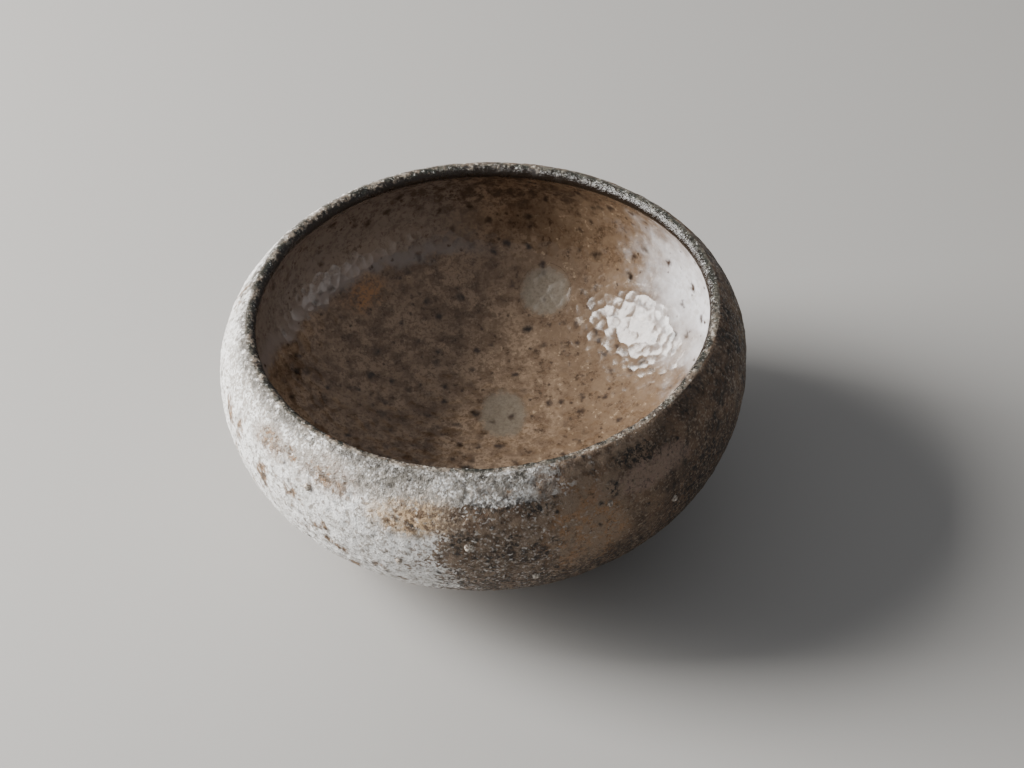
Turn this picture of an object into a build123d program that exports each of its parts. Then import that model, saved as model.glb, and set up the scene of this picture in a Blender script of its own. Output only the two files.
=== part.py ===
from build123d import *
import os
from math import acos, asin, atan2, cos, degrees, hypot, radians, sin

# A hand-thrown, ash-glazed stoneware bowl for go stones, open at the top.
# Millimetres, +Z up, origin on the table under the middle of the foot.

# ---- driving dimensions ------------------------------------------------------
HEIGHT = 61.0             # table to the middle of the lip's crest
BELLY_RADIUS = 65.0       # widest glazed radius
BELLY_HEIGHT = 43.0
BELLY_SWELL = 45.0        # half axes of the ellipse from the foot to the belly
BELLY_DROP = 39.0
SHOULDER_POWER = 2.57     # how late the shoulder turns in, towards the lip
MOUTH_RADIUS = 57.2       # centre line of the rounded lip
LIP_RADIUS = 1.9
LIP_LEAN = 43.5           # degrees that the lip's arc is turned outward
FLOOR_HEIGHT = 12.0       # glazed surface at the middle of the inside
FLOOR_RADIUS = 8.0        # flat middle of the inside
INSIDE_RADIUS = 60.4      # widest glazed radius of the inside
INSIDE_HEIGHT = 44.0      # where the inside is widest
UNDERCUT_POWER = 2.85     # how late the inside turns in, under the lip
GLAZE = 0.6               # thickness of the fired ash and glaze coats
GLAZE_LINE = 10.0         # the outer coat stops here, above the foot
BODY_LEAN = 0.8           # degrees that the thrown body leans on its foot, high at +X

# Foot ring, luted on under the body
UNDERSIDE = 6.2           # level underside of the clay body, above the table
TRIMMED = 1.0             # clay turned below the underside, then cut away level
FOOT_OUTER = 29.0
FOOT_INNER = 22.0
FOOT_TAPER = 1.2          # how far each side of the ring leans in by the table
FOOT_ROUNDING = 0.7

# Dark glassy band over the crest and inner edge of the lip
BAND_START = 70.0         # degrees round the lip's arc from level outward

# Marks of two wadding pads on the inside: position, and half width and half length
WALL_MARK = (16.5, 48.2, 24.2)
WALL_MARK_RADII = (7.0, 7.6)
FLOOR_MARK = (4.6, 13.3, 12.2)
FLOOR_MARK_RADII = (6.6, 9.6)
MARK_REACH = 5.0          # how far a mark's cutting column reaches each way

# Feldspar grains half sunk in the outer wall: degrees round from +X, height, radius
GRAINS = (
    (267.0, 43.8, 1.1),
    (281.0, 30.5, 0.9),
    (252.0, 36.0, 0.8),
    (297.0, 49.5, 0.8),
    (231.0, 50.0, 0.9),
    (314.0, 40.0, 0.8),
    (152.0, 40.0, 0.9),
    (35.0, 46.0, 0.9),
)


# ---- the wall's outline ------------------------------------------------------
def shoulder_point(inset, share):
    """(radius, height) on the outside, share of the way from the belly to the lip."""
    lip = LIP_RADIUS - inset
    belly = BELLY_RADIUS - inset
    end_radius = MOUTH_RADIUS + lip * cos(radians(LIP_LEAN))
    end_height = HEIGHT - LIP_RADIUS + lip * sin(radians(LIP_LEAN))
    radius = belly - (belly - end_radius) * share**SHOULDER_POWER
    return radius, BELLY_HEIGHT + (end_height - BELLY_HEIGHT) * share


def undercut_point(inset, share):
    """(radius, height) on the inside, share of the way from its widest ring to the lip."""
    lip = LIP_RADIUS - inset
    widest = INSIDE_RADIUS + inset
    end_radius = MOUTH_RADIUS - lip * cos(radians(LIP_LEAN))
    end_height = HEIGHT - LIP_RADIUS - lip * sin(radians(LIP_LEAN))
    radius = widest - (widest - end_radius) * share**UNDERCUT_POWER
    return radius, INSIDE_HEIGHT + (end_height - INSIDE_HEIGHT) * share


def lower_wall(inset, low, high, steps):
    """The outside between two heights, both under the belly: a stretch of its ellipse."""
    swell = BELLY_SWELL - inset
    drop = BELLY_DROP - inset
    start = asin((low - BELLY_HEIGHT) / drop)
    end = asin((high - BELLY_HEIGHT) / drop)
    points = []
    for i in range(steps + 1):
        a = start + (end - start) * i / steps
        points.append((BELLY_RADIUS - BELLY_SWELL + swell * cos(a), BELLY_HEIGHT + drop * sin(a)))
    tangents = [(-swell * sin(a), drop * cos(a)) for a in (start, end)]
    return Spline(points, tangents=tangents)


def wall_curves(inset):
    """The wall's outline in order: up the outside, over the lip and in to the axis."""
    lip = LIP_RADIUS - inset
    lip_centre = (MOUTH_RADIUS, HEIGHT - LIP_RADIUS)
    up_and_in = (-sin(radians(LIP_LEAN)), cos(radians(LIP_LEAN)))
    down_and_out = (sin(radians(LIP_LEAN)), -cos(radians(LIP_LEAN)))
    bare_foot = lower_wall(inset, UNDERSIDE - TRIMMED, GLAZE_LINE, 2)
    outside = lower_wall(inset, GLAZE_LINE, BELLY_HEIGHT, 6)
    shoulder = Spline(
        [shoulder_point(inset, share) for share in (0, 0.4, 0.75, 1)], tangents=[(0, 1), up_and_in]
    )
    outer_lip = CenterArc(lip_centre, lip, LIP_LEAN, BAND_START - LIP_LEAN)
    crest = CenterArc(lip_centre, lip, BAND_START, 180 + LIP_LEAN - BAND_START)
    undercut = Spline(
        [undercut_point(inset, share) for share in (1, 0.75, 0.4, 0)], tangents=[down_and_out, (0, -1)]
    )
    inside = EllipticalCenterArc(
        (FLOOR_RADIUS, INSIDE_HEIGHT),
        INSIDE_RADIUS - FLOOR_RADIUS + inset,
        INSIDE_HEIGHT - FLOOR_HEIGHT + inset,
        start_angle=0,
        arc_size=-90,
    )
    floor = Line(inside @ 1, (0, FLOOR_HEIGHT - inset))
    return [bare_foot, outside, shoulder, outer_lip, crest, undercut, inside, floor]


def turned(outline):
    """The leaning body of revolution of a closed outline."""
    solid = revolve(Plane.XZ * make_face(outline), Axis.Z, 360)
    lean_at_belly = Pos(0, 0, BELLY_HEIGHT) * Rot(0, -BODY_LEAN, 0) * Pos(0, 0, -BELLY_HEIGHT)
    return lean_at_belly * solid


def outer_wall_radius(height):
    """Glazed radius of the outside at a height between the underside and the lip."""
    if height < BELLY_HEIGHT:
        a = acos((BELLY_HEIGHT - height) / BELLY_DROP)
        return BELLY_RADIUS - BELLY_SWELL + BELLY_SWELL * sin(a)
    top = shoulder_point(0, 1)[1]
    return shoulder_point(0, (height - BELLY_HEIGHT) / (top - BELLY_HEIGHT))[0]


def inner_wall_slope(radius):
    """Degrees that the inside rises outward at a radius."""
    reach = INSIDE_RADIUS - FLOOR_RADIUS
    a = asin((radius - FLOOR_RADIUS) / reach)
    return degrees(atan2((INSIDE_HEIGHT - FLOOR_HEIGHT) * sin(a), reach * cos(a)))


# ---- the pieces --------------------------------------------------------------
def clay_body():
    curves = wall_curves(GLAZE)
    closing = Polyline(curves[-1] @ 1, (0, UNDERSIDE - TRIMMED), curves[0] @ 0)
    level = Pos(0, 0, UNDERSIDE) * Box(
        3 * BELLY_RADIUS, 3 * BELLY_RADIUS, 3 * HEIGHT, align=(Align.CENTER, Align.CENTER, Align.MIN)
    )
    return turned(curves + [closing]) & level


def foot_ring():
    outline = Polyline(
        (FOOT_INNER, UNDERSIDE),
        (FOOT_INNER + FOOT_TAPER, 0),
        (FOOT_OUTER - FOOT_TAPER, 0),
        (FOOT_OUTER, UNDERSIDE),
        close=True,
    )
    ring = revolve(Plane.XZ * make_face(outline), Axis.Z, 360)
    table_edges = ring.edges().group_by(Axis.Z)[0]
    return fillet(table_edges, FOOT_ROUNDING)


def coat(first, last):
    """The coat that lies on the wall's curves from first up to last."""
    surface = wall_curves(0)[first:last]
    bed = wall_curves(GLAZE)[first:last]
    edges = [Line(surface[0] @ 0, bed[0] @ 0), Line(surface[-1] @ 1, bed[-1] @ 1)]
    return turned(surface + bed + edges)


def mark_column(position, radii, lean):
    """An oval column through the inner coat, square to the surface at position."""
    column = extrude(Ellipse(*radii), MARK_REACH, both=True)
    turn = degrees(atan2(position[1], position[0])) - 90
    return Pos(*position) * Rot(0, 0, turn) * Rot(lean, 0, 0) * column


def mark_columns():
    wall_slope = inner_wall_slope(hypot(WALL_MARK[0], WALL_MARK[1]))
    return [
        mark_column(WALL_MARK, WALL_MARK_RADII, wall_slope),
        mark_column(FLOOR_MARK, FLOOR_MARK_RADII, 0),
    ]


def feldspar_grains():
    grains = []
    for turn, height, radius in GRAINS:
        facing_out = Rot(0, 0, turn) * Pos(outer_wall_radius(height), 0, height) * Rot(0, 90, 0)
        grains.append(facing_out * Sphere(radius))
    return grains


def build():
    clay = clay_body()
    outer = coat(1, 4)
    band = coat(4, 5)
    inner = coat(5, 8)
    columns = mark_columns()
    marks = [inner & column for column in columns]
    inner = inner - columns
    grains = feldspar_grains()
    return {
        "clay_body": clay - grains,
        "foot_ring": foot_ring(),
        "outer_glaze": outer - grains,
        "rim_glaze": band,
        "inner_glaze": inner,
        "wad_scars": Compound([solid for mark in marks for solid in mark.solids()]),
        "feldspar_grains": Compound([solid for grain in grains for solid in grain.solids()]),
    }


os.makedirs("parts", exist_ok=True)
for node, shape in build().items():
    export_step(shape, f"parts/{node}.step")
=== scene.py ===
from math import acos, asin, atan2, cos, hypot, pi, radians, sin, sqrt
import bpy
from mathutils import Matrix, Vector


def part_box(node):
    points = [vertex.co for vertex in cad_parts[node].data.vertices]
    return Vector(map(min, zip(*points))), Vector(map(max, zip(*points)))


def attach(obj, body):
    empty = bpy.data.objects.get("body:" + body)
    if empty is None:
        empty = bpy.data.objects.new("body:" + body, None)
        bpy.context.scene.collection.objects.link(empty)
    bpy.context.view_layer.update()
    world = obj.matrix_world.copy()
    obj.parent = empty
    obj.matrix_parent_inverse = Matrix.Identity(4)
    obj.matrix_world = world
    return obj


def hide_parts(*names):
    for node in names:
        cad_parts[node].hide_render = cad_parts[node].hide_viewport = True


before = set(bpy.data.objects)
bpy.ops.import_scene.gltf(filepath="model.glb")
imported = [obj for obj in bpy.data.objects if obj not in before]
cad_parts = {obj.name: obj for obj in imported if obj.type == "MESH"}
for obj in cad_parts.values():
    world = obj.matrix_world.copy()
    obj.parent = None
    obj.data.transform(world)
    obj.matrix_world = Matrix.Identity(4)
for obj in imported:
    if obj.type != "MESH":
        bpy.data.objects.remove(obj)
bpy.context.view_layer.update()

from types import SimpleNamespace

import bmesh
import bpy
from mathutils import Euler, Matrix, Vector, noise

MM = 0.001

# ---- sizes, in millimetres ---------------------------------------------------
# The frame gives the sizes that it can: the rest are the bowl's own proportions.
outer_low, outer_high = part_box("outer_glaze")
inner_low, inner_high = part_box("inner_glaze")
foot_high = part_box("foot_ring")[1]
rim_low, rim_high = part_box("rim_glaze")

COAT = 0.6                                                 # ash and glaze coats
BELLY_RADIUS = (outer_high.x - outer_low.x) / 2 / MM
INSIDE_RADIUS = (inner_high.x - inner_low.x) / 2 / MM - COAT
HEIGHT = 61.0                                              # mean crest of the lip
BELLY_HEIGHT = 43.0
BELLY_SWELL = 45.0
BELLY_DROP = 39.0
SHOULDER_POWER = 2.57
LIP_RADIUS = 1.9
LIP_LEAN = radians(43.5)
BAND_START = radians(70.0)
MOUTH_RADIUS = (rim_high.y - rim_low.y) / 2 / MM - LIP_RADIUS * cos(BAND_START)    # middle of the lip
FLOOR_HEIGHT = inner_low.z / MM + COAT
FLOOR_RADIUS = 8.0
INSIDE_HEIGHT = 44.0
UNDERCUT_POWER = 2.85
GLAZE_LINE = 10.0
UNDERSIDE = foot_high.z / MM
FOOT_OUTER = foot_high.x / MM
FOOT_INNER = 22.0
FOOT_TAPER = 1.2
FOOT_ROUNDING = 0.7
GLAZE_EDGE_ROLL = 0.9                                      # how far back the outer coat's edge thins

# The unevenness of the hand: how far the wall swings in and out, and how far the lip rises and falls
OVAL_SWING = 0.4
LOBE_SWING = 0.2
LIP_TILT = 1.0
LIP_SADDLE = 0.3
LIP_RISE_FROM = 20.0                                       # below this height the lip's rise has died out
EVEN_RADIUS = 20.0                                         # nearer the middle the swing dies out too

# Distance between the rings of each mesh, and how many steps it is spun in
OUTER_SPACING = 0.56
BAND_SPACING = 0.3
INNER_SPACING = 0.62
UNDERSIDE_SPACING = 0.8
BARE_SPACING = 0.6
OUTER_TURNS = 730
BAND_TURNS = 1200
INNER_TURNS = 560
CLAY_TURNS = 400
FOOT_TURNS = 240
SHARP_ANGLE = radians(50)


# ---- camera, floor and light -------------------------------------------------
def make_camera():
    """A long lens that looks down into the bowl from the front."""
    elevation = radians(42.38)
    roll = radians(-0.87)
    aim = Vector((7.04, 2.27, 32.99)) * MM
    distance = 644.74 * MM
    data = bpy.data.cameras.new("camera")
    data.lens = 90
    data.sensor_width = 36
    data.clip_start = 0.01
    camera = bpy.data.objects.new("camera", data)
    turn = Euler((pi / 2 - elevation, 0, 0)).to_matrix() @ Matrix.Rotation(roll, 3, "Z")
    back = turn @ Vector((0, 0, 1))
    camera.matrix_world = Matrix.Translation(aim + back * distance) @ turn.to_4x4()
    bpy.context.scene.collection.objects.link(camera)
    bpy.context.scene.camera = camera


def softbox(name, direction, distance, size, watts, colour):
    """A large soft lamp that faces the middle of the bowl."""
    data = bpy.data.lights.new(name, "AREA")
    data.shape = "RECTANGLE"
    data.size, data.size_y = size
    data.energy = watts
    data.color = colour
    lamp = bpy.data.objects.new(name, data)
    towards = Vector(direction).normalized()
    middle = Vector((0, 0, HEIGHT / 2 * MM))
    facing = towards.to_track_quat("Z", "Y").to_matrix().to_4x4()
    lamp.matrix_world = Matrix.Translation(middle + towards * distance) @ facing
    bpy.context.scene.collection.objects.link(lamp)


make_camera()
softbox("window_light", (-0.90, 0.12, 0.46), 1.0, (0.46, 0.80), 40, (1.0, 0.985, 0.96))


# ---- the wall's outline ------------------------------------------------------
def belly_point(share):
    """(radius, height) on the lower outside, share of the way from the glaze line to the belly."""
    start = asin((GLAZE_LINE - BELLY_HEIGHT) / BELLY_DROP)
    a = start * (1 - share)
    return BELLY_RADIUS - BELLY_SWELL + BELLY_SWELL * cos(a), BELLY_HEIGHT + BELLY_DROP * sin(a)


def lip_point(angle):
    """(radius, height) on the round lip, the angle measured up from straight outwards."""
    return MOUTH_RADIUS + LIP_RADIUS * cos(angle), HEIGHT - LIP_RADIUS + LIP_RADIUS * sin(angle)


def shoulder_point(share):
    """(radius, height) on the upper outside, share of the way from the belly to the lip."""
    end_radius, end_height = lip_point(LIP_LEAN)
    radius = BELLY_RADIUS - (BELLY_RADIUS - end_radius) * share**SHOULDER_POWER
    return radius, BELLY_HEIGHT + (end_height - BELLY_HEIGHT) * share


def undercut_point(share):
    """(radius, height) on the upper inside, share of the way from its widest ring to the lip."""
    end_radius, end_height = lip_point(LIP_LEAN + pi)
    radius = INSIDE_RADIUS - (INSIDE_RADIUS - end_radius) * share**UNDERCUT_POWER
    return radius, INSIDE_HEIGHT + (end_height - INSIDE_HEIGHT) * share


def hollow_point(share):
    """(radius, height) on the lower inside, share of the way from its widest ring to the floor."""
    a = pi / 2 * (1 - share)
    reach = INSIDE_RADIUS - FLOOR_RADIUS
    depth = INSIDE_HEIGHT - FLOOR_HEIGHT
    return FLOOR_RADIUS + reach * sin(a), INSIDE_HEIGHT - depth * cos(a)


def along(curves, spacing):
    """Points spaced evenly along curves, each a function of a share from 0 to 1."""
    fine = [curve(i / 200) for curve in curves for i in range(201)]
    lengths = [0.0]
    for before, here in zip(fine, fine[1:]):
        lengths.append(lengths[-1] + hypot(here[0] - before[0], here[1] - before[1]))
    count = round(lengths[-1] / spacing)
    points = []
    at = 0
    for i in range(count + 1):
        wanted = lengths[-1] * i / count
        while at < len(lengths) - 2 and lengths[at + 1] < wanted:
            at += 1
        span = lengths[at + 1] - lengths[at]
        share = (wanted - lengths[at]) / span if span else 0.0
        points.append(tuple(a + (b - a) * share for a, b in zip(fine[at], fine[at + 1])))
    return points


class Station:
    """One ring of a wall's surface: its place, the way it faces, and its distance past the crest."""

    def __init__(self, radius, height, facing, past_crest):
        self.radius = radius
        self.height = height
        self.facing = facing
        self.past_crest = past_crest

    def inset(self, depth):
        radius = max(0.0, self.radius - self.facing[0] * depth)
        return Station(radius, self.height - self.facing[1] * depth, self.facing, self.past_crest)


def wall_stations():
    """The three stretches of the wall's surface, outer coat, lip band and inner coat, as stations."""
    def outer_lip(share):
        return lip_point(LIP_LEAN + (BAND_START - LIP_LEAN) * share)

    def crest(share):
        return lip_point(BAND_START + (pi + LIP_LEAN - BAND_START) * share)

    def undercut(share):
        return undercut_point(1 - share)

    def floor(share):
        return FLOOR_RADIUS * (1 - share), FLOOR_HEIGHT

    outer = along([belly_point, shoulder_point, outer_lip], OUTER_SPACING)
    band = along([crest], BAND_SPACING)
    inner = along([undercut, hollow_point, floor], INNER_SPACING)
    points = outer + band[1:] + inner[1:]
    stations = []
    run = 0.0
    for i, here in enumerate(points):
        before = points[max(i - 1, 0)]
        after = points[min(i + 1, len(points) - 1)]
        step = (after[0] - before[0], after[1] - before[1])
        length = hypot(*step)
        if i:
            run += hypot(here[0] - before[0], here[1] - before[1])
        stations.append(Station(here[0], here[1], (step[1] / length, -step[0] / length), run))
    highest = max(stations, key=lambda station: station.height).past_crest
    for station in stations:
        station.past_crest -= highest
    band_from = len(outer) - 1
    inner_from = band_from + len(band) - 1
    return stations[: band_from + 1], stations[band_from : inner_from + 1], stations[inner_from:]


# ---- unevenness and relief ---------------------------------------------------
def thrown(point):
    """Where a point of the true turned form really is, in millimetres: the unevenness of the hand."""
    x, y, height = point
    radius = hypot(x, y)
    angle = atan2(y, x)
    share = height / HEIGHT
    lobes = OVAL_SWING * sin(2 * angle) + LOBE_SWING * cos(3 * angle) + LOBE_SWING * sin(4 * angle)
    rise = max(0.0, (height - LIP_RISE_FROM) / (HEIGHT - LIP_RISE_FROM)) ** 2
    lift = LIP_TILT * cos(angle) + LIP_SADDLE * cos(2 * angle)
    if radius < 1e-6:
        return Vector((0.0, 0.0, height + rise * lift))
    uneven = (radius + share * lobes * min(1.0, radius / EVEN_RADIUS)) / radius
    return Vector((x * uneven, y * uneven, height + rise * lift))


def smooth(low, high, value):
    """0 below low and 1 above high, with an even turn between."""
    share = min(1.0, max(0.0, (value - low) / (high - low)))
    return share * share * (3 - 2 * share)


def crust_relief(point):
    """Height in millimetres of the ash crust: lumps, grit and pits."""
    lumps = 0.20 * noise.noise(point / 9.0) + 0.12 * noise.noise(point / 3.6 + Vector((7, 0, 0)))
    grit = 0.16 * noise.noise(point / 1.25) + 0.07 * noise.noise(point / 0.7)
    pit = smooth(0.34, 0.62, noise.noise(point / 2.4 + Vector((0, 31, 5))))
    return lumps + grit - 0.32 * pit


def glaze_relief(point):
    """Height in millimetres of the glossy inside: throwing swells and orange peel."""
    swell = 0.14 * noise.noise(point / 15.0)
    peel = 0.055 * noise.noise(point / 2.6 + Vector((3, 9, 0)))
    return swell + peel


def lip_relief(point):
    """Height in millimetres of beads of ash glass along the crest."""
    beads = 0.16 * noise.noise(point / 1.7 + Vector((0, 0, 17))) + 0.08 * noise.noise(point / 0.8)
    return 0.16 * noise.noise(point / 7.0) + beads


def surface_relief(point, past_crest):
    """The relief at a point of the wall, by how far past the crest it lies, negative outside."""
    outside = 1 - smooth(-2.5, 0.0, past_crest)
    inside = smooth(1.0, 4.0, past_crest)
    on_lip = max(0.0, 1 - outside - inside)
    relief = 0.0
    if outside:
        relief += outside * crust_relief(point)
    if inside:
        relief += inside * glaze_relief(point)
    if on_lip:
        relief += on_lip * lip_relief(point)
    return relief


# ---- making pieces -----------------------------------------------------------
def finish_mesh(name, form):
    """Turns a bmesh into an object in the scene, smooth but for its sharp edges."""
    mesh = bpy.data.meshes.new(name)
    form.to_mesh(mesh)
    form.free()
    mesh.shade_smooth()
    mesh.set_sharp_from_angle(angle=SHARP_ANGLE)
    piece = bpy.data.objects.new(name, mesh)
    bpy.context.scene.collection.objects.link(piece)
    return piece


def spun(name, run, turns, closed, relief_of, slip_of=None):
    """A body turned from a run of (station, share of the relief) pairs, then made uneven."""
    form = bmesh.new()
    crest_layer = form.verts.layers.float.new("past_crest")
    share_layer = form.verts.layers.float.new("relief_share")
    out_layer = form.verts.layers.float.new("faces_out")
    up_layer = form.verts.layers.float.new("faces_up")
    ring = []
    for station, share in run:
        vert = form.verts.new((station.radius, 0, station.height))
        vert[crest_layer] = station.past_crest
        vert[share_layer] = share
        vert[out_layer], vert[up_layer] = station.facing
        ring.append(vert)
    follow = ring[1:] + ring[:1] if closed else ring[1:]
    edges = [form.edges.new(pair) for pair in zip(ring, follow)]
    bmesh.ops.spin(
        form,
        geom=ring + edges,
        cent=(0, 0, 0),
        axis=(0, 0, 1),
        angle=2 * pi,
        steps=turns,
        use_merge=True,
    )
    bmesh.ops.remove_doubles(form, verts=form.verts, dist=1e-4)
    for vert in form.verts:
        point = vert.co.copy()
        around = atan2(point.y, point.x)
        out = vert[out_layer]
        up = vert[up_layer]
        shifted = point
        if slip_of:
            slip = slip_of(around, vert[crest_layer])
            shifted = point + Vector((-up * cos(around), -up * sin(around), out)) * slip
        place = thrown(shifted)
        share = vert[share_layer]
        if share:
            facing = Vector((out * cos(around), out * sin(around), up))
            place += facing * relief_of(point, vert[crest_layer]) * share
        vert.co = place * MM
    bmesh.ops.recalc_face_normals(form, faces=form.faces)
    return finish_mesh(name, form)


def coat_run(surface, bed_every, roll=0.0):
    """A coat's outline: back along its surface, then forward along its plainer bed on the clay."""
    start = surface[0].past_crest
    run = []
    for station in reversed(surface):
        from_edge = station.past_crest - start
        if from_edge < roll:
            thickness = COAT * sqrt(max(0.01, 1 - (1 - from_edge / roll) ** 2))
            station = station.inset(COAT - thickness)
        run.append((station, 1.0))
    bed = surface[::bed_every]
    if bed[-1] is not surface[-1]:
        bed.append(surface[-1])
    return run + [(station.inset(COAT), 0.0) for station in bed]


outer_stations, band_stations, inner_stations = wall_stations()
glaze_start = outer_stations[0].past_crest


def glaze_line_slip(around, past_crest):
    """How far the wandering edge of the outer coat slides along the wall, in millimetres."""
    fade = 1 - smooth(0.0, 8.0, past_crest - glaze_start)
    if not fade:
        return 0.0
    ring = Vector((cos(around), sin(around), 0.0)) * 43
    return fade * (1.3 * noise.noise(ring / 13.0) + 0.5 * noise.noise(ring / 4.0))


def clay_run():
    """The clay body's outline: underside, bare foot, and the wall under the coats."""
    drop = BELLY_DROP - COAT
    swell = BELLY_SWELL - COAT
    meets = acos((BELLY_HEIGHT - UNDERSIDE) / drop)
    ends = acos((BELLY_HEIGHT - outer_stations[0].inset(COAT).height) / drop)
    edge = BELLY_RADIUS - BELLY_SWELL + swell * sin(meets)

    def underside(share):
        return edge * share, UNDERSIDE

    def bare_foot(share):
        a = meets + (ends - meets) * share
        return BELLY_RADIUS - BELLY_SWELL + swell * sin(a), BELLY_HEIGHT - drop * cos(a)

    run = []
    flat = along([underside], UNDERSIDE_SPACING)
    for point in flat[:-1]:
        run.append((Station(point[0], point[1], (0.0, -1.0), glaze_start), 1.0))
    foot = along([bare_foot], BARE_SPACING)
    for i, point in enumerate(foot[:-1]):
        before = foot[max(i - 1, 0)]
        after = foot[i + 1]
        step = (after[0] - before[0], after[1] - before[1])
        length = hypot(*step)
        facing = (step[1] / length, -step[0] / length)
        run.append((Station(point[0], point[1], facing, glaze_start), 1.0))
    hidden = (outer_stations + band_stations[1:] + inner_stations[1:])[::6]
    if hidden[-1] is not inner_stations[-1]:
        hidden.append(inner_stations[-1])
    return run + [(station.inset(COAT), 0.0) for station in hidden]


def clay_relief(point, past_crest):
    """Height in millimetres of trimmed bare clay: the tool's spiral and torn grit."""
    radius = hypot(point.x, point.y)
    turn = atan2(point.y, point.x)
    spiral = 0.10 * sin(2 * pi * radius / 2.4 + turn)
    grit = 0.09 * noise.noise(point / 1.4) + 0.05 * noise.noise(point / 0.7)
    return (spiral if radius < 32 else 0.0) + grit + 0.1 * noise.noise(point / 8.0)


def make_foot_ring():
    """The luted ring: four corners turned, the two on the table rounded, then roughened."""
    form = bmesh.new()
    touching = 0.01
    corners = [
        (FOOT_INNER, UNDERSIDE),
        (FOOT_INNER + FOOT_TAPER, 0.0),
        (FOOT_OUTER - FOOT_TAPER, 0.0),
        (FOOT_OUTER, UNDERSIDE),
    ]
    ring = [form.verts.new((radius, 0, height)) for radius, height in corners]
    edges = [form.edges.new(pair) for pair in zip(ring, ring[1:] + ring[:1])]
    bmesh.ops.spin(
        form,
        geom=ring + edges,
        cent=(0, 0, 0),
        axis=(0, 0, 1),
        angle=2 * pi,
        steps=FOOT_TURNS,
        use_merge=True,
    )
    table_edges = [
        edge
        for edge in form.edges
        if all(vert.co.z < touching for vert in edge.verts)
        and abs(edge.verts[0].co.xy.length - edge.verts[1].co.xy.length) < touching
    ]
    bmesh.ops.bevel(
        form, geom=table_edges, offset=FOOT_ROUNDING, segments=4, profile=0.5, affect="EDGES", material=-1
    )
    long_edges = [edge for edge in form.edges if edge.calc_length() > 1.6]
    bmesh.ops.subdivide_edges(form, edges=long_edges, cuts=7, use_grid_fill=True)
    bmesh.ops.recalc_face_normals(form, faces=form.faces)
    form.normal_update()
    moves = []
    for vert in form.verts:
        grit = 0.12 * noise.noise(vert.co / 1.6) + 0.12 * noise.noise(vert.co / 6.0)
        worn = smooth(0.0, 1.5, vert.co.z) * smooth(0.0, 0.6, UNDERSIDE - vert.co.z)
        moves.append(vert.co + vert.normal * grit * worn)
    for vert, place in zip(form.verts, moves):
        vert.co = place * MM
    return finish_mesh("luted_foot_ring", form)


# Feldspar grains: degrees round from +X, height, radius, as in the CAD node
GRAINS = (
    (267.0, 43.8, 1.1),
    (281.0, 30.5, 0.9),
    (252.0, 36.0, 0.8),
    (297.0, 49.5, 0.8),
    (231.0, 50.0, 0.9),
    (314.0, 40.0, 0.8),
    (152.0, 40.0, 0.9),
    (35.0, 46.0, 0.9),
)


def wall_radius(height):
    """The outer coat's radius at a height."""
    if height < BELLY_HEIGHT:
        a = acos((BELLY_HEIGHT - height) / BELLY_DROP)
        return BELLY_RADIUS - BELLY_SWELL + BELLY_SWELL * sin(a)
    return shoulder_point((height - BELLY_HEIGHT) / (lip_point(LIP_LEAN)[1] - BELLY_HEIGHT))[0]


def make_grains():
    """Half-melted feldspar, each a lumpy pebble half sunk in the wall."""
    form = bmesh.new()
    for turn, height, size in GRAINS:
        out = wall_radius(height)
        around = radians(turn)
        centre = thrown((out * cos(around), out * sin(around), height))
        made = bmesh.ops.create_icosphere(
            form, subdivisions=4, radius=size, matrix=Matrix.Translation(centre)
        )
        for vert in made["verts"]:
            away = vert.co - centre
            lumpy = 1 + 0.22 * noise.noise(vert.co / (size * 1.1)) + 0.06 * noise.noise(vert.co / 0.35)
            vert.co = (centre + away * lumpy) * MM
    return finish_mesh("feldspar_pebbles", form)


# Wadding marks: the middle of each, its half width and half length, and how deep they are cut out
WALL_MARK = Vector((16.5, 48.2, 24.2))
WALL_MARK_RADII = (7.0, 7.6)
FLOOR_MARK = Vector((4.6, 13.3, 12.2))
FLOOR_MARK_RADII = (6.6, 9.6)
MARK_REACH = 5.0


def mark_columns():
    """Two oval columns that cut the wadding marks out of the inner coat."""
    form = bmesh.new()
    reach = INSIDE_RADIUS - FLOOR_RADIUS
    a = asin((WALL_MARK.xy.length - FLOOR_RADIUS) / reach)
    lean = atan2((INSIDE_HEIGHT - FLOOR_HEIGHT) * sin(a), reach * cos(a))
    for place, radii, tilt in ((WALL_MARK, WALL_MARK_RADII, lean), (FLOOR_MARK, FLOOR_MARK_RADII, 0.0)):
        facing = Matrix.Rotation(atan2(place.y, place.x) - pi / 2, 4, "Z") @ Matrix.Rotation(tilt, 4, "X")
        oval = Matrix.Diagonal((radii[0], radii[1], 1.0, 1.0))
        bmesh.ops.create_cone(
            form,
            cap_ends=True,
            segments=90,
            radius1=1.0,
            radius2=1.0,
            depth=2 * MARK_REACH,
            matrix=Matrix.Scale(MM, 4) @ Matrix.Translation(place) @ facing @ oval,
        )
    bmesh.ops.recalc_face_normals(form, faces=form.faces)
    return finish_mesh("mark_columns", form)


def cut(piece, name, operation, cutter):
    """A new piece: what a boolean with the cutter leaves of this one."""
    modifier = piece.modifiers.new("cut", "BOOLEAN")
    modifier.operation = operation
    modifier.solver = "EXACT"
    modifier.object = cutter
    bpy.context.view_layer.update()
    shown = piece.evaluated_get(bpy.context.evaluated_depsgraph_get())
    mesh = bpy.data.meshes.new_from_object(shown)
    mesh.name = name
    piece.modifiers.remove(modifier)
    mesh.set_sharp_from_angle(angle=SHARP_ANGLE)
    made = bpy.data.objects.new(name, mesh)
    bpy.context.scene.collection.objects.link(made)
    return made


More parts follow.
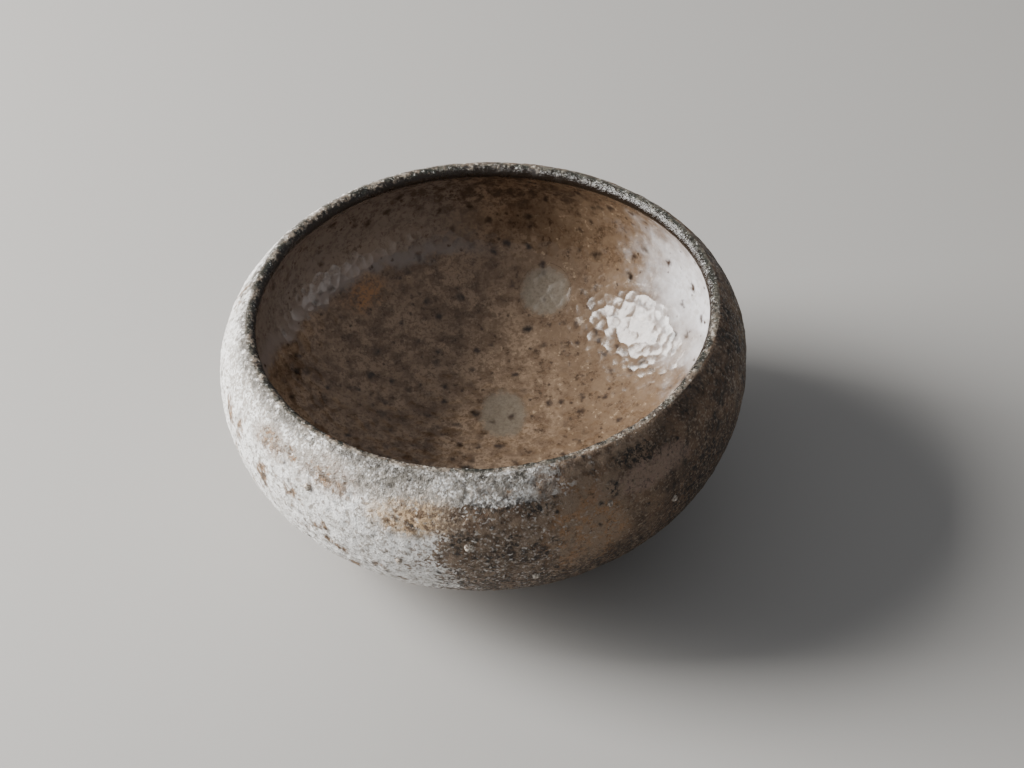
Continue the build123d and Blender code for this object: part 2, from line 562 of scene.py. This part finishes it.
outer_run = coat_run(outer_stations, bed_every=12, roll=GLAZE_EDGE_ROLL)
band_run = coat_run(band_stations, bed_every=5)
inner_run = coat_run(inner_stations, bed_every=12)
outer_coat = spun("ash_crust_coat", outer_run, OUTER_TURNS, True, surface_relief, glaze_line_slip)
lip_band = spun("lip_glass_band", band_run, BAND_TURNS, True, surface_relief)
whole_inner = spun("whole_inner_coat", inner_run, INNER_TURNS, False, surface_relief)
clay_body = spun("thrown_clay_body", clay_run(), CLAY_TURNS, False, clay_relief)
foot_ring = make_foot_ring()
pebbles = make_grains()
columns = mark_columns()
wad_marks = cut(whole_inner, "wadding_marks", "INTERSECT", columns)
inner_coat = cut(whole_inner, "inner_glaze_coat", "DIFFERENCE", columns)
bpy.data.objects.remove(columns)
bpy.data.objects.remove(whole_inner)


# ---- materials ---------------------------------------------------------------
def paint(code):
    """A linear colour from an sRGB hex value."""
    def channel(pair):
        value = int(pair, 16) / 255
        return value / 12.92 if value <= 0.04045 else ((value + 0.055) / 1.055) ** 2.4

    return (channel(code[1:3]), channel(code[3:5]), channel(code[5:7]), 1.0)


def add(tree, kind, inputs=None, **settings):
    """Adds a node; inputs gives each socket a value or another node's output."""
    made = tree.nodes.new("ShaderNode" + kind)
    for name, value in settings.items():
        setattr(made, name, value)
    for socket, value in (inputs or {}).items():
        if isinstance(value, bpy.types.NodeSocket):
            tree.links.new(value, made.inputs[socket])
        else:
            made.inputs[socket].default_value = value
    return made


def new_surface(name, **constants):
    """A material with its shader's plain values set, its tree, and the place in millimetres."""
    material = bpy.data.materials.new(name)
    material.use_nodes = True
    tree = material.node_tree
    shader = tree.nodes["Principled BSDF"]
    for socket, value in constants.items():
        shader.inputs[socket.replace("_", " ")].default_value = value
    where = add(tree, "TexCoord").outputs["Object"]
    place = add(tree, "VectorMath", {0: where, "Scale": 1 / MM}, operation="SCALE").outputs["Vector"]
    return material, tree, shader, place


def span(tree, value, low, high):
    """0 at low and 1 at high, smoothly; low may be the larger."""
    ramp = {"Value": value, "From Min": low, "From Max": high}
    return add(tree, "MapRange", ramp, interpolation_type="SMOOTHSTEP").outputs["Result"]


def mottle(tree, place, grain, low, high, detail=3.0, roughness=0.6):
    """Cloudy blotches of a grain in millimetres: 0 below low, 1 above high."""
    cloud = {"Vector": place, "Scale": 1 / grain, "Detail": detail, "Roughness": roughness}
    return span(tree, add(tree, "TexNoise", cloud).outputs["Fac"], low, high)


def leaned(tree, value, mask, amount):
    """value plus amount wherever the mask is on."""
    return add(tree, "Math", {0: mask, 1: amount, 2: value}, operation="MULTIPLY_ADD").outputs[0]


def both(tree, *masks):
    """Where every mask is on."""
    shown = masks[0]
    for mask in masks[1:]:
        shown = add(tree, "Math", {0: shown, 1: mask}, operation="MULTIPLY").outputs[0]
    return shown


def either(tree, *masks):
    """Where any mask is on."""
    shown = masks[0]
    for mask in masks[1:]:
        shown = add(tree, "Math", {0: shown, 1: mask}, operation="MAXIMUM").outputs[0]
    return shown


def specks(tree, place, spacing, size, share=0.5, ragged=0.45):
    """Scattered round specks: about spacing apart and size across, in millimetres."""
    wobble = add(tree, "TexNoise", {"Vector": place, "Scale": 1.6 / size, "Detail": 2.0})
    moved = {0: wobble.outputs["Color"], 1: (2 * ragged * size,) * 3, 2: place}
    offset = add(tree, "VectorMath", moved, operation="MULTIPLY_ADD").outputs["Vector"]
    cells = add(tree, "TexVoronoi", {"Vector": offset, "Scale": 1 / spacing})
    near = span(tree, cells.outputs["Distance"], size / spacing * 0.62, size / spacing * 0.1)
    luck = add(tree, "SeparateColor", {0: cells.outputs["Color"]}).outputs[0]
    return both(tree, near, span(tree, luck, 1 - share, 1.1 - share))


def granules(tree, place, size):
    """A random value for each tiny crystal of a size in millimetres."""
    cells = add(tree, "TexVoronoi", {"Vector": place, "Scale": 1 / size})
    return add(tree, "SeparateColor", {0: cells.outputs["Color"]}).outputs[0]


def patch(tree, place, centre, reach, ragged=0.4, grain=5.0, edge=0.5):
    """A soft, ragged patch about a point: 1 in its middle, 0 past its reach, in millimetres."""
    away = add(tree, "VectorMath", {0: place, 1: centre}, operation="SUBTRACT").outputs["Vector"]
    scaled = add(tree, "VectorMath", {0: away, 1: reach}, operation="DIVIDE").outputs["Vector"]
    distance = add(tree, "VectorMath", {0: scaled}, operation="LENGTH").outputs["Value"]
    cloud = {"Vector": place, "Scale": 1 / grain, "Detail": 4.0, "Roughness": 0.6}
    torn = leaned(tree, distance, add(tree, "TexNoise", cloud).outputs["Fac"], 2 * ragged)
    return span(tree, torn, 1 + ragged, 1 + ragged - edge)


def laid_over(tree, ground, *layers):
    """Colours laid over a ground in order, each (mask, colour)."""
    shown = ground
    for mask, colour in layers:
        shown = add(tree, "Mix", {0: mask, 6: shown, 7: colour}, data_type="RGBA").outputs[2]
    return shown


def bumped(tree, shader, *layers):
    """Fine relief on a shader, each layer (height, millimetres high for a height of 1)."""
    normal = None
    for height, size in layers:
        inputs = {"Height": height, "Distance": size * MM, "Strength": 1.0}
        if normal:
            inputs["Normal"] = normal
        normal = add(tree, "Bump", inputs).outputs["Normal"]
    tree.links.new(normal, shader.inputs["Normal"])


def outside_guides(tree, place):
    """What the outside is laid out by: place, distance past the crest, crystals, mottling, fields."""
    axes = add(tree, "SeparateXYZ", {0: place})
    x, y, z = (axes.outputs[name] for name in "XYZ")
    crest = add(tree, "Attribute", attribute_name="past_crest").outputs["Fac"]
    cloud = add(
        tree, "TexNoise", {"Vector": place, "Scale": 1 / 11.0, "Detail": 6.0, "Roughness": 0.66}
    ).outputs["Fac"]
    crystal = granules(tree, place, 0.5)
    sway = leaned(tree, x, cloud, 46.0)
    sunk = leaned(tree, crest, cloud, 11.0)
    front = span(tree, y, 10.0, -20.0)
    return SimpleNamespace(
        x=x,
        z=z,
        crest=crest,
        crystal=crystal,
        pale_grain_and_glints=span(tree, crystal, 0.62, 0.95),
        dark_grain=span(tree, crystal, 0.38, 0.1),
        broad=mottle(tree, place, 7.0, 0.38, 0.62, 5.0, 0.6),
        small=mottle(tree, place, 2.4, 0.44, 0.60, 5.0, 0.7),
        fine=mottle(tree, place, 1.1, 0.46, 0.62, 4.0, 0.75),
        sway=sway,
        front=front,
        # White ash over the left side, partly painted light where the lamp falls.
        ash_and_painted_light_left=span(tree, sway, 36.0, -12.0),
        under_rim=both(tree, span(tree, sunk, -6.0, -1.0), span(tree, sway, 60.0, 26.0), front),
    )


def darkened_zones_and_shade(tree, place, at):
    """Where the clay is painted darker: low down, as painted shade, round the right, partly painted shade
    away from the lamp, and in patches at the front.
    """
    return either(
        tree,
        patch(tree, place, (6.0, -62.0, 40.0), (21.0, 12.0, 12.0), 0.8, 4.0, 1.1),
        patch(tree, place, (54.0, -36.0, 38.0), (19.0, 26.0, 15.0), 0.5, 7.0, 0.6),
        patch(tree, place, (37.0, -50.0, 57.5), (10.0, 7.0, 3.0), 0.5, 4.0),
        # Painted shade low down on the front and right, where the belly turns under.
        both(tree, span(tree, at.z, 40.0, 27.0), span(tree, at.x, -22.0, 2.0)),
        # Darker mottling round the right, partly painted shade on the side away from the lamp.
        both(tree, span(tree, at.sway, 56.0, 84.0), mottle(tree, place, 7.0, 0.40, 0.62, 4.0, 0.6)),
    )


def iron_blots(tree, place, dark_and_shade):
    """Black iron blots: three at the front, and a scatter over the darkened clay, whose darkness is
    partly painted shade.
    """
    front_blots = either(
        tree,
        patch(tree, place, (-5.5, -64.6, 45.5), (5.0, 6.0, 4.0), 0.7, 2.0, 0.9),
        patch(tree, place, (13.0, -62.2, 53.0), (6.0, 6.0, 3.0), 0.7, 2.0, 0.9),
        patch(tree, place, (29.9, -56.1, 52.8), (3.0, 4.0, 3.0), 0.6, 1.5, 0.9),
    )
    return either(
        tree,
        both(tree, front_blots, mottle(tree, place, 1.3, 0.46, 0.58, 5.0, 0.75)),
        both(tree, dark_and_shade, mottle(tree, place, 1.7, 0.50, 0.62, 5.0, 0.75)),
    )


def iron_ground(tree, place, at, dark_and_shade, blots):
    """Iron-brown fired clay, tan and gold where the ash ran thin over it."""
    tan_right = patch(tree, place, (24.0, -59.5, 43.0), (14.0, 10.0, 16.0), 0.45, 6.0)
    streak = patch(tree, place, (39.0, -50.0, 52.5), (18.0, 16.0, 4.6), 0.45, 5.0)
    gold = patch(tree, place, (60.0, 8.0, 52.0), (16.0, 30.0, 10.0), 0.5, 8.0, 0.7)
    dusty = both(
        tree, at.front, span(tree, at.sway, 76.0, 40.0), mottle(tree, place, 3.0, 0.40, 0.58)
    )
    return laid_over(
        tree,
        paint("#6f5742"),
        (at.broad, paint("#4f3c2b")),
        (both(tree, gold, at.small), paint("#7d6238")),
        (tan_right, paint("#957353")),
        (streak, paint("#8a7365")),
        (both(tree, at.fine, at.small), paint("#33261b")),
        # Pale grains, partly real crystals and partly painted glints.
        (both(tree, at.pale_grain_and_glints, mottle(tree, place, 5.0, 0.36, 0.56)), paint("#8c7a68")),
        (dusty, paint("#87735f")),
        (both(tree, dark_and_shade, either(tree, at.dark_grain, at.fine)), paint("#33271d")),
        (blots, paint("#17120d")),
        (specks(tree, place, 3.6, 1.5, 0.5), paint("#1b140f")),
    )


def white_ash(tree, place, at):
    """White ash and melted feldspar: sugary, peach and brown in stains, grey near the lip, pitted."""
    peach = patch(tree, place, (-15.0, -61.8, 50.5), (17.0, 10.0, 8.0), 0.55, 4.0, 0.8)
    stained = either(
        tree,
        patch(tree, place, (-36.0, -51.5, 54.5), (14.0, 11.0, 6.0), 0.6, 3.0, 0.9),
        patch(tree, place, (-50.0, -38.5, 54.0), (8.0, 9.0, 5.5), 0.6, 3.0, 0.9),
        mottle(tree, place, 8.0, 0.55, 0.66, 4.0, 0.6),
    )
    greyed = either(
        tree,
        patch(tree, place, (-20.0, -56.0, 60.0), (17.0, 10.0, 9.0), 0.6, 3.0, 0.9),
        both(tree, span(tree, at.crest, -7.0, -1.0), mottle(tree, place, 7.0, 0.42, 0.56, 4.0, 0.6)),
    )
    return laid_over(
        tree,
        paint("#f4f3f1"),
        (mottle(tree, place, 5.0, 0.44, 0.64, 4.0, 0.6), paint("#d6d4d0")),
        (both(tree, at.dark_grain, mottle(tree, place, 3.4, 0.40, 0.60)), paint("#b3aea8")),
        (mottle(tree, place, 1.4, 0.51, 0.62, 4.0, 0.65), paint("#a39c94")),
        (both(tree, peach, mottle(tree, place, 1.6, 0.30, 0.50, 4.0, 0.7)), paint("#cdae88")),
        (both(tree, stained, mottle(tree, place, 1.6, 0.34, 0.50, 4.0, 0.7)), paint("#86694c")),
        (both(tree, stained, mottle(tree, place, 1.3, 0.46, 0.56, 4.0, 0.7)), paint("#4f3f31")),
        (both(tree, peach, mottle(tree, place, 1.5, 0.48, 0.58, 4.0, 0.7)), paint("#6d5640")),
        (specks(tree, place, 2.4, 1.1, 0.6), paint("#645b52")),
        (specks(tree, place, 4.4, 2.2, 0.6), paint("#332c26")),
        (both(tree, at.under_rim, span(tree, at.crystal, 0.8, 0.2)), paint("#9c958c")),
        (both(tree, at.front, span(tree, at.sway, 30.0, 56.0)), paint("#93857a")),
        (both(tree, greyed, mottle(tree, place, 1.8, 0.42, 0.54, 4.0, 0.7)), paint("#6b665d")),
        (both(tree, greyed, mottle(tree, place, 1.1, 0.50, 0.60, 4.0, 0.7)), paint("#3c372f")),
    )


def ash_cover(tree, place, at):
    """Where the ash lies thick enough to hide the ground, with a lacy, crystalline edge."""
    dusting = both(tree, at.front, span(tree, at.sway, 76.0, 30.0))
    low_left = both(tree, span(tree, at.sway, 16.0, -6.0), span(tree, at.z, 54.0, 40.0))
    thickness = either(
        tree,
        at.ash_and_painted_light_left,
        at.under_rim,
        leaned(tree, 0.0, dusting, 0.30),
        leaned(tree, 0.0, both(tree, low_left, at.broad), 0.75),
    )
    lace = add(
        tree, "TexNoise", {"Vector": place, "Scale": 1 / 1.0, "Detail": 5.0, "Roughness": 0.75}
    ).outputs["Fac"]
    heap = leaned(tree, leaned(tree, 0.0, lace, 0.7), at.crystal, 0.3)
    return span(tree, leaned(tree, heap, thickness, 0.9), 0.82, 1.06)


def outside_colour(tree, place):
    """Colour, wetness and crystals of the ash-fired outside: white on the left, brown on the right,
    partly painted light and shade.
    """
    at = outside_guides(tree, place)
    dark_and_shade = darkened_zones_and_shade(tree, place, at)
    blots = iron_blots(tree, place, dark_and_shade)
    iron_band = both(
        tree,
        patch(tree, place, (4.0, -62.0, 54.6), (19.0, 9.0, 3.6), 0.6, 3.0, 0.9),
        mottle(tree, place, 1.5, 0.44, 0.58, 5.0, 0.75),
    )
    wet = both(
        tree,
        span(tree, at.crest, -4.6, -1.0),
        mottle(tree, place, 9.0, 0.42, 0.54, 3.0, 0.6),
        mottle(tree, place, 1.2, 0.40, 0.54, 4.0, 0.7),
    )
    colour = laid_over(
        tree,
        iron_ground(tree, place, at, dark_and_shade, blots),
        (ash_cover(tree, place, at), white_ash(tree, place, at)),
        (iron_band, paint("#231a13")),
        (blots, paint("#1a140f")),
        (both(tree, wet, at.ash_and_painted_light_left), paint("#4b463f")),
    )
    return colour, wet, at.crystal


def ash_crust():
    """Natural ash and feldspar fired onto the outside: dry, sugary and pitted, with tiny glints."""
    material, tree, shader, place = new_surface("sugary_ash_crust", IOR=1.5)
    colour, wet, crystal = outside_colour(tree, place)
    rough = leaned(tree, leaned(tree, 0.64, wet, -0.34), span(tree, crystal, 0.7, 1.0), -0.34)
    grit = {"Vector": place, "Scale": 1 / 0.7, "Detail": 3.0, "Roughness": 0.75}
    bumped(
        tree,
        shader,
        (add(tree, "TexNoise", grit).outputs["Fac"], 0.55),
        (crystal, 0.12),
    )
    tree.links.new(colour, shader.inputs["Base Color"])
    tree.links.new(rough, shader.inputs["Roughness"])
    return material


def lip_glass():
    """Ash melted on the lip: mottled grey-brown on the left, dark wet glass on the right, and a dark
    inner edge that is partly painted shade.
    """
    material, tree, shader, place = new_surface("dark_ash_glass", IOR=1.52)
    axes = add(tree, "SeparateXYZ", {0: place})
    x = axes.outputs["X"]
    y = axes.outputs["Y"]
    crest = add(tree, "Attribute", attribute_name="past_crest").outputs["Fac"]
    outside, _, crystal = outside_colour(tree, place)
    blush = both(
        tree,
        patch(tree, place, (-32.8, -45.0, 60.0), (5.0, 3.0, 3.0), 0.5, 1.5),
        span(tree, crest, 0.4, 1.4),
    )
    dry = laid_over(
        tree,
        paint("#857a6c"),
        (mottle(tree, place, 3.0, 0.40, 0.58, 4.0, 0.7), paint("#64574a")),
        (mottle(tree, place, 1.8, 0.50, 0.60, 4.0, 0.7), paint("#3a3027")),
        # Pale crystals, partly real and partly painted glints.
        (span(tree, crystal, 0.72, 1.0), paint("#b9b1a5")),
        (blush, paint("#8f6644")),
    )
    glassy = laid_over(
        tree,
        paint("#2b2c27"),
        (mottle(tree, place, 2.2, 0.46, 0.62, 4.0, 0.7), paint("#57544b")),
        # Pale crumbs in the glass, partly white crystals and partly painted glints.
        (mottle(tree, place, 0.9, 0.58, 0.66, 4.0, 0.7), paint("#b9b8b3")),
    )
    sway = leaned(tree, x, mottle(tree, place, 8.0, 0.3, 0.7), 24.0)
    behind = both(tree, span(tree, sway, 12.0, 40.0), span(tree, y, -24.0, 8.0))
    pools = both(tree, mottle(tree, place, 4.5, 0.46, 0.56, 4.0, 0.7), span(tree, crest, -2.8, -0.6))
    melted = either(tree, behind, pools)
    lace = mottle(tree, place, 1.0, 0.38, 0.60, 4.0, 0.7)
    on_top = span(tree, crest, -2.0, 0.6)
    # A dark line at the lip's inner edge, where the glaze begins, partly painted shade under the lip's
    # roll.
    inner_edge_painted_shade = span(tree, leaned(tree, crest, lace, 1.8), 1.6, 2.6)
    colour = laid_over(
        tree,
        outside,
        (on_top, dry),
        (both(tree, melted, on_top), glassy),
        (inner_edge_painted_shade, paint("#211a14")),
    )
    rough = leaned(tree, 0.6, both(tree, melted, on_top), -0.44)
    grit = {"Vector": place, "Scale": 1 / 0.8, "Detail": 3.0, "Roughness": 0.7}
    bumped(tree, shader, (add(tree, "TexNoise", grit).outputs["Fac"], 0.34))
    tree.links.new(colour, shader.inputs["Base Color"])
    tree.links.new(rough, shader.inputs["Roughness"])
    return material


def inside_coat(tree, shader, place):
    """Clear glossy glaze over iron-specked tan clay, milky where it ran thick on the walls, with painted
    shade on the left and under the lip, painted light on the right wall and a painted reflection band.
    """
    axes = add(tree, "SeparateXYZ", {0: place})
    x = axes.outputs["X"]
    crest = add(tree, "Attribute", attribute_name="past_crest").outputs["Fac"]
    cloud = add(
        tree, "TexNoise", {"Vector": place, "Scale": 1 / 9.0, "Detail": 4.0, "Roughness": 0.6}
    ).outputs["Fac"]
    level = leaned(tree, axes.outputs["Z"], cloud, 10.0)
    broad = mottle(tree, place, 12.0, 0.38, 0.62, 3.0, 0.55)
    clots = mottle(tree, place, 4.2, 0.44, 0.62, 5.0, 0.68)
    small = mottle(tree, place, 1.9, 0.48, 0.64, 4.0, 0.7)
    fine = mottle(tree, place, 0.9, 0.46, 0.62, 3.0, 0.7)
    sand = granules(tree, place, 0.9)

    leftward = span(tree, x, 6.0, -16.0)
    # Painted shade towards the right, where the lamp falls full on the wall.
    painted_shade_right = span(tree, x, 2.0, 30.0)
    # Painted shade: the milky veil on the left wall is painted grey, the way it looks in shade.
    veil_left_painted_shade = both(tree, span(tree, level, 35.0, 39.0), leftward)
    # A painted reflection: a pale band on the left wall just under the lip.
    painted_reflection_band = both(tree, span(tree, level, 35.0, 38.0), span(tree, level, 42.0, 38.0), leftward)
    # The milky veil on the right wall: partly the thick glaze's own colour, partly painted light where
    # the lamp falls full on it.
    milky_veil_and_painted_light = patch(tree, place, (57.0, 22.0, 42.0), (29.0, 46.0, 25.0), 0.5, 6.0, 1.0)
    blush = patch(tree, place, (-32.0, 44.0, 28.5), (10.0, 9.0, 5.0), 0.5, 3.0, 0.8)
    band = patch(tree, place, (2.0, 58.0, 51.0), (40.0, 22.0, 13.0), 0.4, 6.0, 0.8)
    back_band = both(tree, span(tree, level, 46.0, 52.0), band)
    wall_mark = patch(tree, place, tuple(WALL_MARK), (7.8, 7.8, 7.8), 0.2, 2.4, 0.36)
    floor_mark = patch(tree, place, tuple(FLOOR_MARK), (6.9, 9.6, 8.0), 0.2, 2.4, 0.36)
    marks = either(tree, wall_mark, floor_mark)

    colour = laid_over(
        tree,
        # A ground painted lighter, to make up for the shade the left wall casts on the floor.
        paint("#a38c75"),
        (broad, paint("#8f7963")),
        (painted_shade_right, paint("#7f6a55")),
        (both(tree, painted_shade_right, broad), paint("#6e5a47")),
        (both(tree, span(tree, sand, 0.5, 0.9), small), paint("#ad967c")),
        (blush, paint("#ab7f55")),
        (clots, paint("#6a5542")),
        (both(tree, small, clots), paint("#473729")),
        (fine, paint("#7a6551")),
        # The left veil in painted shade, darker still in its clots.
        (veil_left_painted_shade, paint("#867b72")),
        (both(tree, veil_left_painted_shade, small), paint("#72675e")),
        (both(tree, veil_left_painted_shade, clots, fine), paint("#5b5047")),
        (painted_reflection_band, paint("#8a807a")),
        (both(tree, back_band, either(tree, clots, small)), paint("#4c3e33")),
        (milky_veil_and_painted_light, paint("#dedde0")),
        (both(tree, milky_veil_and_painted_light, small), paint("#c0bcba")),
        (specks(tree, place, 2.6, 1.1, 0.5), paint("#4a3b2f")),
        (marks, paint("#84796a")),
        (both(tree, marks, either(tree, small, fine)), paint("#756a5a")),
        (specks(tree, place, 4.6, 2.6, 0.6), paint("#40332a")),
        (both(tree, specks(tree, place, 9.0, 3.4, 0.7), span(tree, level, 52.0, 44.0)), paint("#2c231c")),
        # Painted shade: a dark band just inside the lip, under its roll.
        (span(tree, crest, 5.4, 2.6), paint("#2e241c")),
    )
    hammered = add(
        tree, "TexVoronoi", {"Vector": place, "Scale": 1 / 2.5, "Smoothness": 0.35}, feature="SMOOTH_F1"
    ).outputs["Distance"]
    domes = add(tree, "Math", {0: hammered, 1: hammered}, operation="MULTIPLY").outputs[0]
    peel = {"Vector": place, "Scale": 1 / 4.5, "Detail": 2.0, "Roughness": 0.5}
    bumped(
        tree,
        shader,
        (add(tree, "TexNoise", peel).outputs["Fac"], 0.14),
        (domes, -0.22),
    )
    rough = leaned(tree, leaned(tree, 0.17, marks, 0.2), small, 0.08)
    tree.links.new(colour, shader.inputs["Base Color"])
    tree.links.new(rough, shader.inputs["Roughness"])


def inner_glaze():
    """Glossy wood-ash glaze, its hammered surface breaking up every highlight."""
    material, tree, shader, place = new_surface("glossy_clear_ash_glaze", IOR=1.52)
    inside_coat(tree, shader, place)
    return material


def wadding_scar():
    """Fireclay wadding's bed: a pale, drier round where a pad kept the ash off."""
    material, tree, shader, place = new_surface("pale_wadding_scar", IOR=1.5)
    inside_coat(tree, shader, place)
    return material


def bare_clay():
    """Unglazed iron-bearing stoneware, trimmed on the wheel: matt, brown, gritty."""
    material, tree, shader, place = new_surface("bare_trimmed_stoneware", IOR=1.5, Roughness=0.85)
    colour = laid_over(
        tree,
        paint("#7a5f49"),
        (mottle(tree, place, 9.0, 0.4, 0.65, 4.0, 0.6), paint("#654c39")),
        (mottle(tree, place, 1.2, 0.5, 0.7, 3.0, 0.7), paint("#8a705a")),
        (specks(tree, place, 4.0, 1.2), paint("#33271f")),
    )
    grit = {"Vector": place, "Scale": 1 / 0.5, "Detail": 3.0, "Roughness": 0.7}
    bumped(tree, shader, (add(tree, "TexNoise", grit).outputs["Fac"], 0.16))
    tree.links.new(colour, shader.inputs["Base Color"])
    return material


def feldspar():
    """Half-melted feldspar dusted with ash: pale, mottled, softly glossy."""
    material, tree, shader, place = new_surface("melted_feldspar", IOR=1.53, Roughness=0.45)
    colour = laid_over(
        tree,
        paint("#a3978a"),
        (mottle(tree, place, 0.8, 0.4, 0.6, 3.0), paint("#6d6156")),
        (span(tree, granules(tree, place, 0.4), 0.6, 0.9), paint("#c9c1b5")),
    )
    tree.links.new(colour, shader.inputs["Base Color"])
    return material


def dress(piece, material, node):
    """Gives a piece its material, parents it to the root body, and hides the CAD node it stands in for.
    """
    piece.data.materials.clear()
    piece.data.materials.append(material)
    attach(piece, "root")
    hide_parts(node)


stoneware = bare_clay()
dress(clay_body, stoneware, "clay_body")
dress(foot_ring, stoneware, "foot_ring")
dress(outer_coat, ash_crust(), "outer_glaze")
dress(lip_band, lip_glass(), "rim_glaze")
dress(inner_coat, inner_glaze(), "inner_glaze")
dress(wad_marks, wadding_scar(), "wad_scars")
dress(pebbles, feldspar(), "feldspar_grains")


# ---- floor and surroundings --------------------------------------------------
def make_floor():
    """A plain pale floor, matt."""
    form = bmesh.new()
    bmesh.ops.create_grid(form, x_segments=1, y_segments=1, size=3.0)
    floor = finish_mesh("pale_floor", form)
    material, _, shader, _ = new_surface("pale_studio_floor", Roughness=0.7)
    shader.inputs["Base Color"].default_value = paint("#a5a3a0")
    floor.data.materials.append(material)


def make_surroundings():
    """The soft, even light of a pale room."""
    world = bpy.data.worlds.new("soft_room")
    world.use_nodes = True
    background = world.node_tree.nodes["Background"]
    background.inputs["Color"].default_value = paint("#e6e8ec")
    background.inputs["Strength"].default_value = 0.36
    bpy.context.scene.world = world


make_floor()
make_surroundings()
